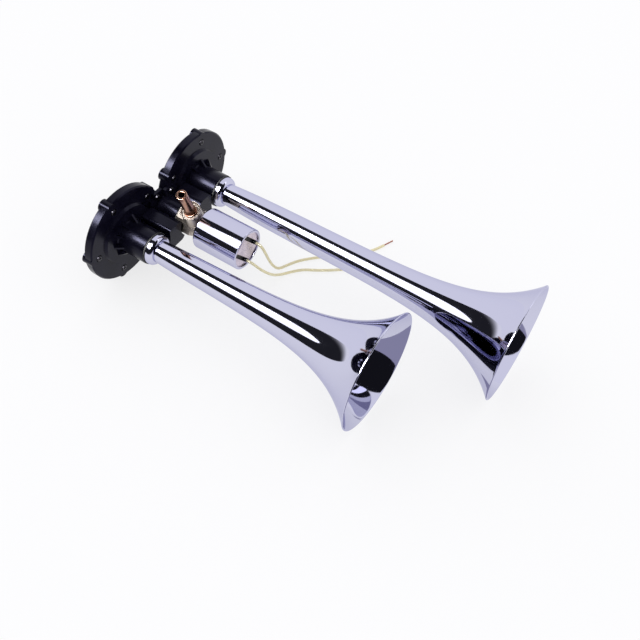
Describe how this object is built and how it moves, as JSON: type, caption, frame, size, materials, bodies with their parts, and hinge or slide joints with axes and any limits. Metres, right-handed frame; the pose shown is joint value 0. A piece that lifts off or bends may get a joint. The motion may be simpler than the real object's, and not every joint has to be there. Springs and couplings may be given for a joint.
{
  "type": "truck horn",
  "caption": "Air horn with a short and a long trumpet side by side, joined by a manifold that carries an electric air valve with a hose nipple and bare-ended leads.",
  "frame": {"origin": "midway between the two bracket holes, on the bracket face of the manifold", "axes": "+X along the trumpets towards their mouths, +Y from the short trumpet to the long one, +Z away from the bracket face"},
  "size_m": [0.3548, 0.2317, 0.11],
  "materials": {
    "chrome": "polished chrome plate",
    "black_moulding": "moulded, fine satin gloss",
    "zinc_steel": "bright zinc plate",
    "zinc_casting": "machined, zinc plated, slightly greenish",
    "brass": "turned brass, coppery",
    "steel": "ground or drawn",
    "copper": "enamelled wire or bare strands",
    "rubber": "moulded",
    "bobbin_plastic": "moulded, matt",
    "lead_insulation": "extruded, pale yellow, satin"
  },
  "bodies": {
    "horn": {"short_front_housing": "black_moulding", "short_rear_cover": "black_moulding", "short_gasket": "rubber", "short_diaphragm": "steel", "short_housing_screws": "zinc_steel", "short_trumpet_seal": "rubber", "short_ferrule": "chrome", "short_tube": "chrome", "short_bell": "chrome", "long_front_housing": "black_moulding", "long_rear_cover": "black_moulding", "long_gasket": "rubber", "long_diaphragm": "steel", "long_housing_screws": "zinc_steel", "long_trumpet_seal": "rubber", "long_ferrule": "chrome", "long_tube": "chrome", "long_bell": "chrome", "manifold": "black_moulding", "inlet_o_rings": "rubber", "manifold_screws": "zinc_steel", "bracket_inserts": "brass", "valve_body": "zinc_casting", "valve_washer": "rubber", "inlet_nipple": "brass", "solenoid_can": "chrome", "end_plate": "zinc_steel", "coil_bobbin": "bobbin_plastic", "coil_winding": "copper", "guide_tube": "brass", "fixed_core": "steel", "return_spring": "steel", "lead_grommets": "rubber", "lead_1": "lead_insulation", "lead_2": "lead_insulation", "lead_1_strands": "copper", "lead_2_strands": "copper"},
    "plunger": {"plunger": "steel", "plunger_seat_disc": "rubber"}
  },
  "joints": [
    {"name": "plunger_slide", "type": "slide", "parent": "horn", "child": "plunger", "axis": [1, 0, 0], "range_m": [0, 0.0025], "stiffness_N_per_m": 500, "springref_m": -0.004, "deforming": ["return_spring"]}
  ]
}
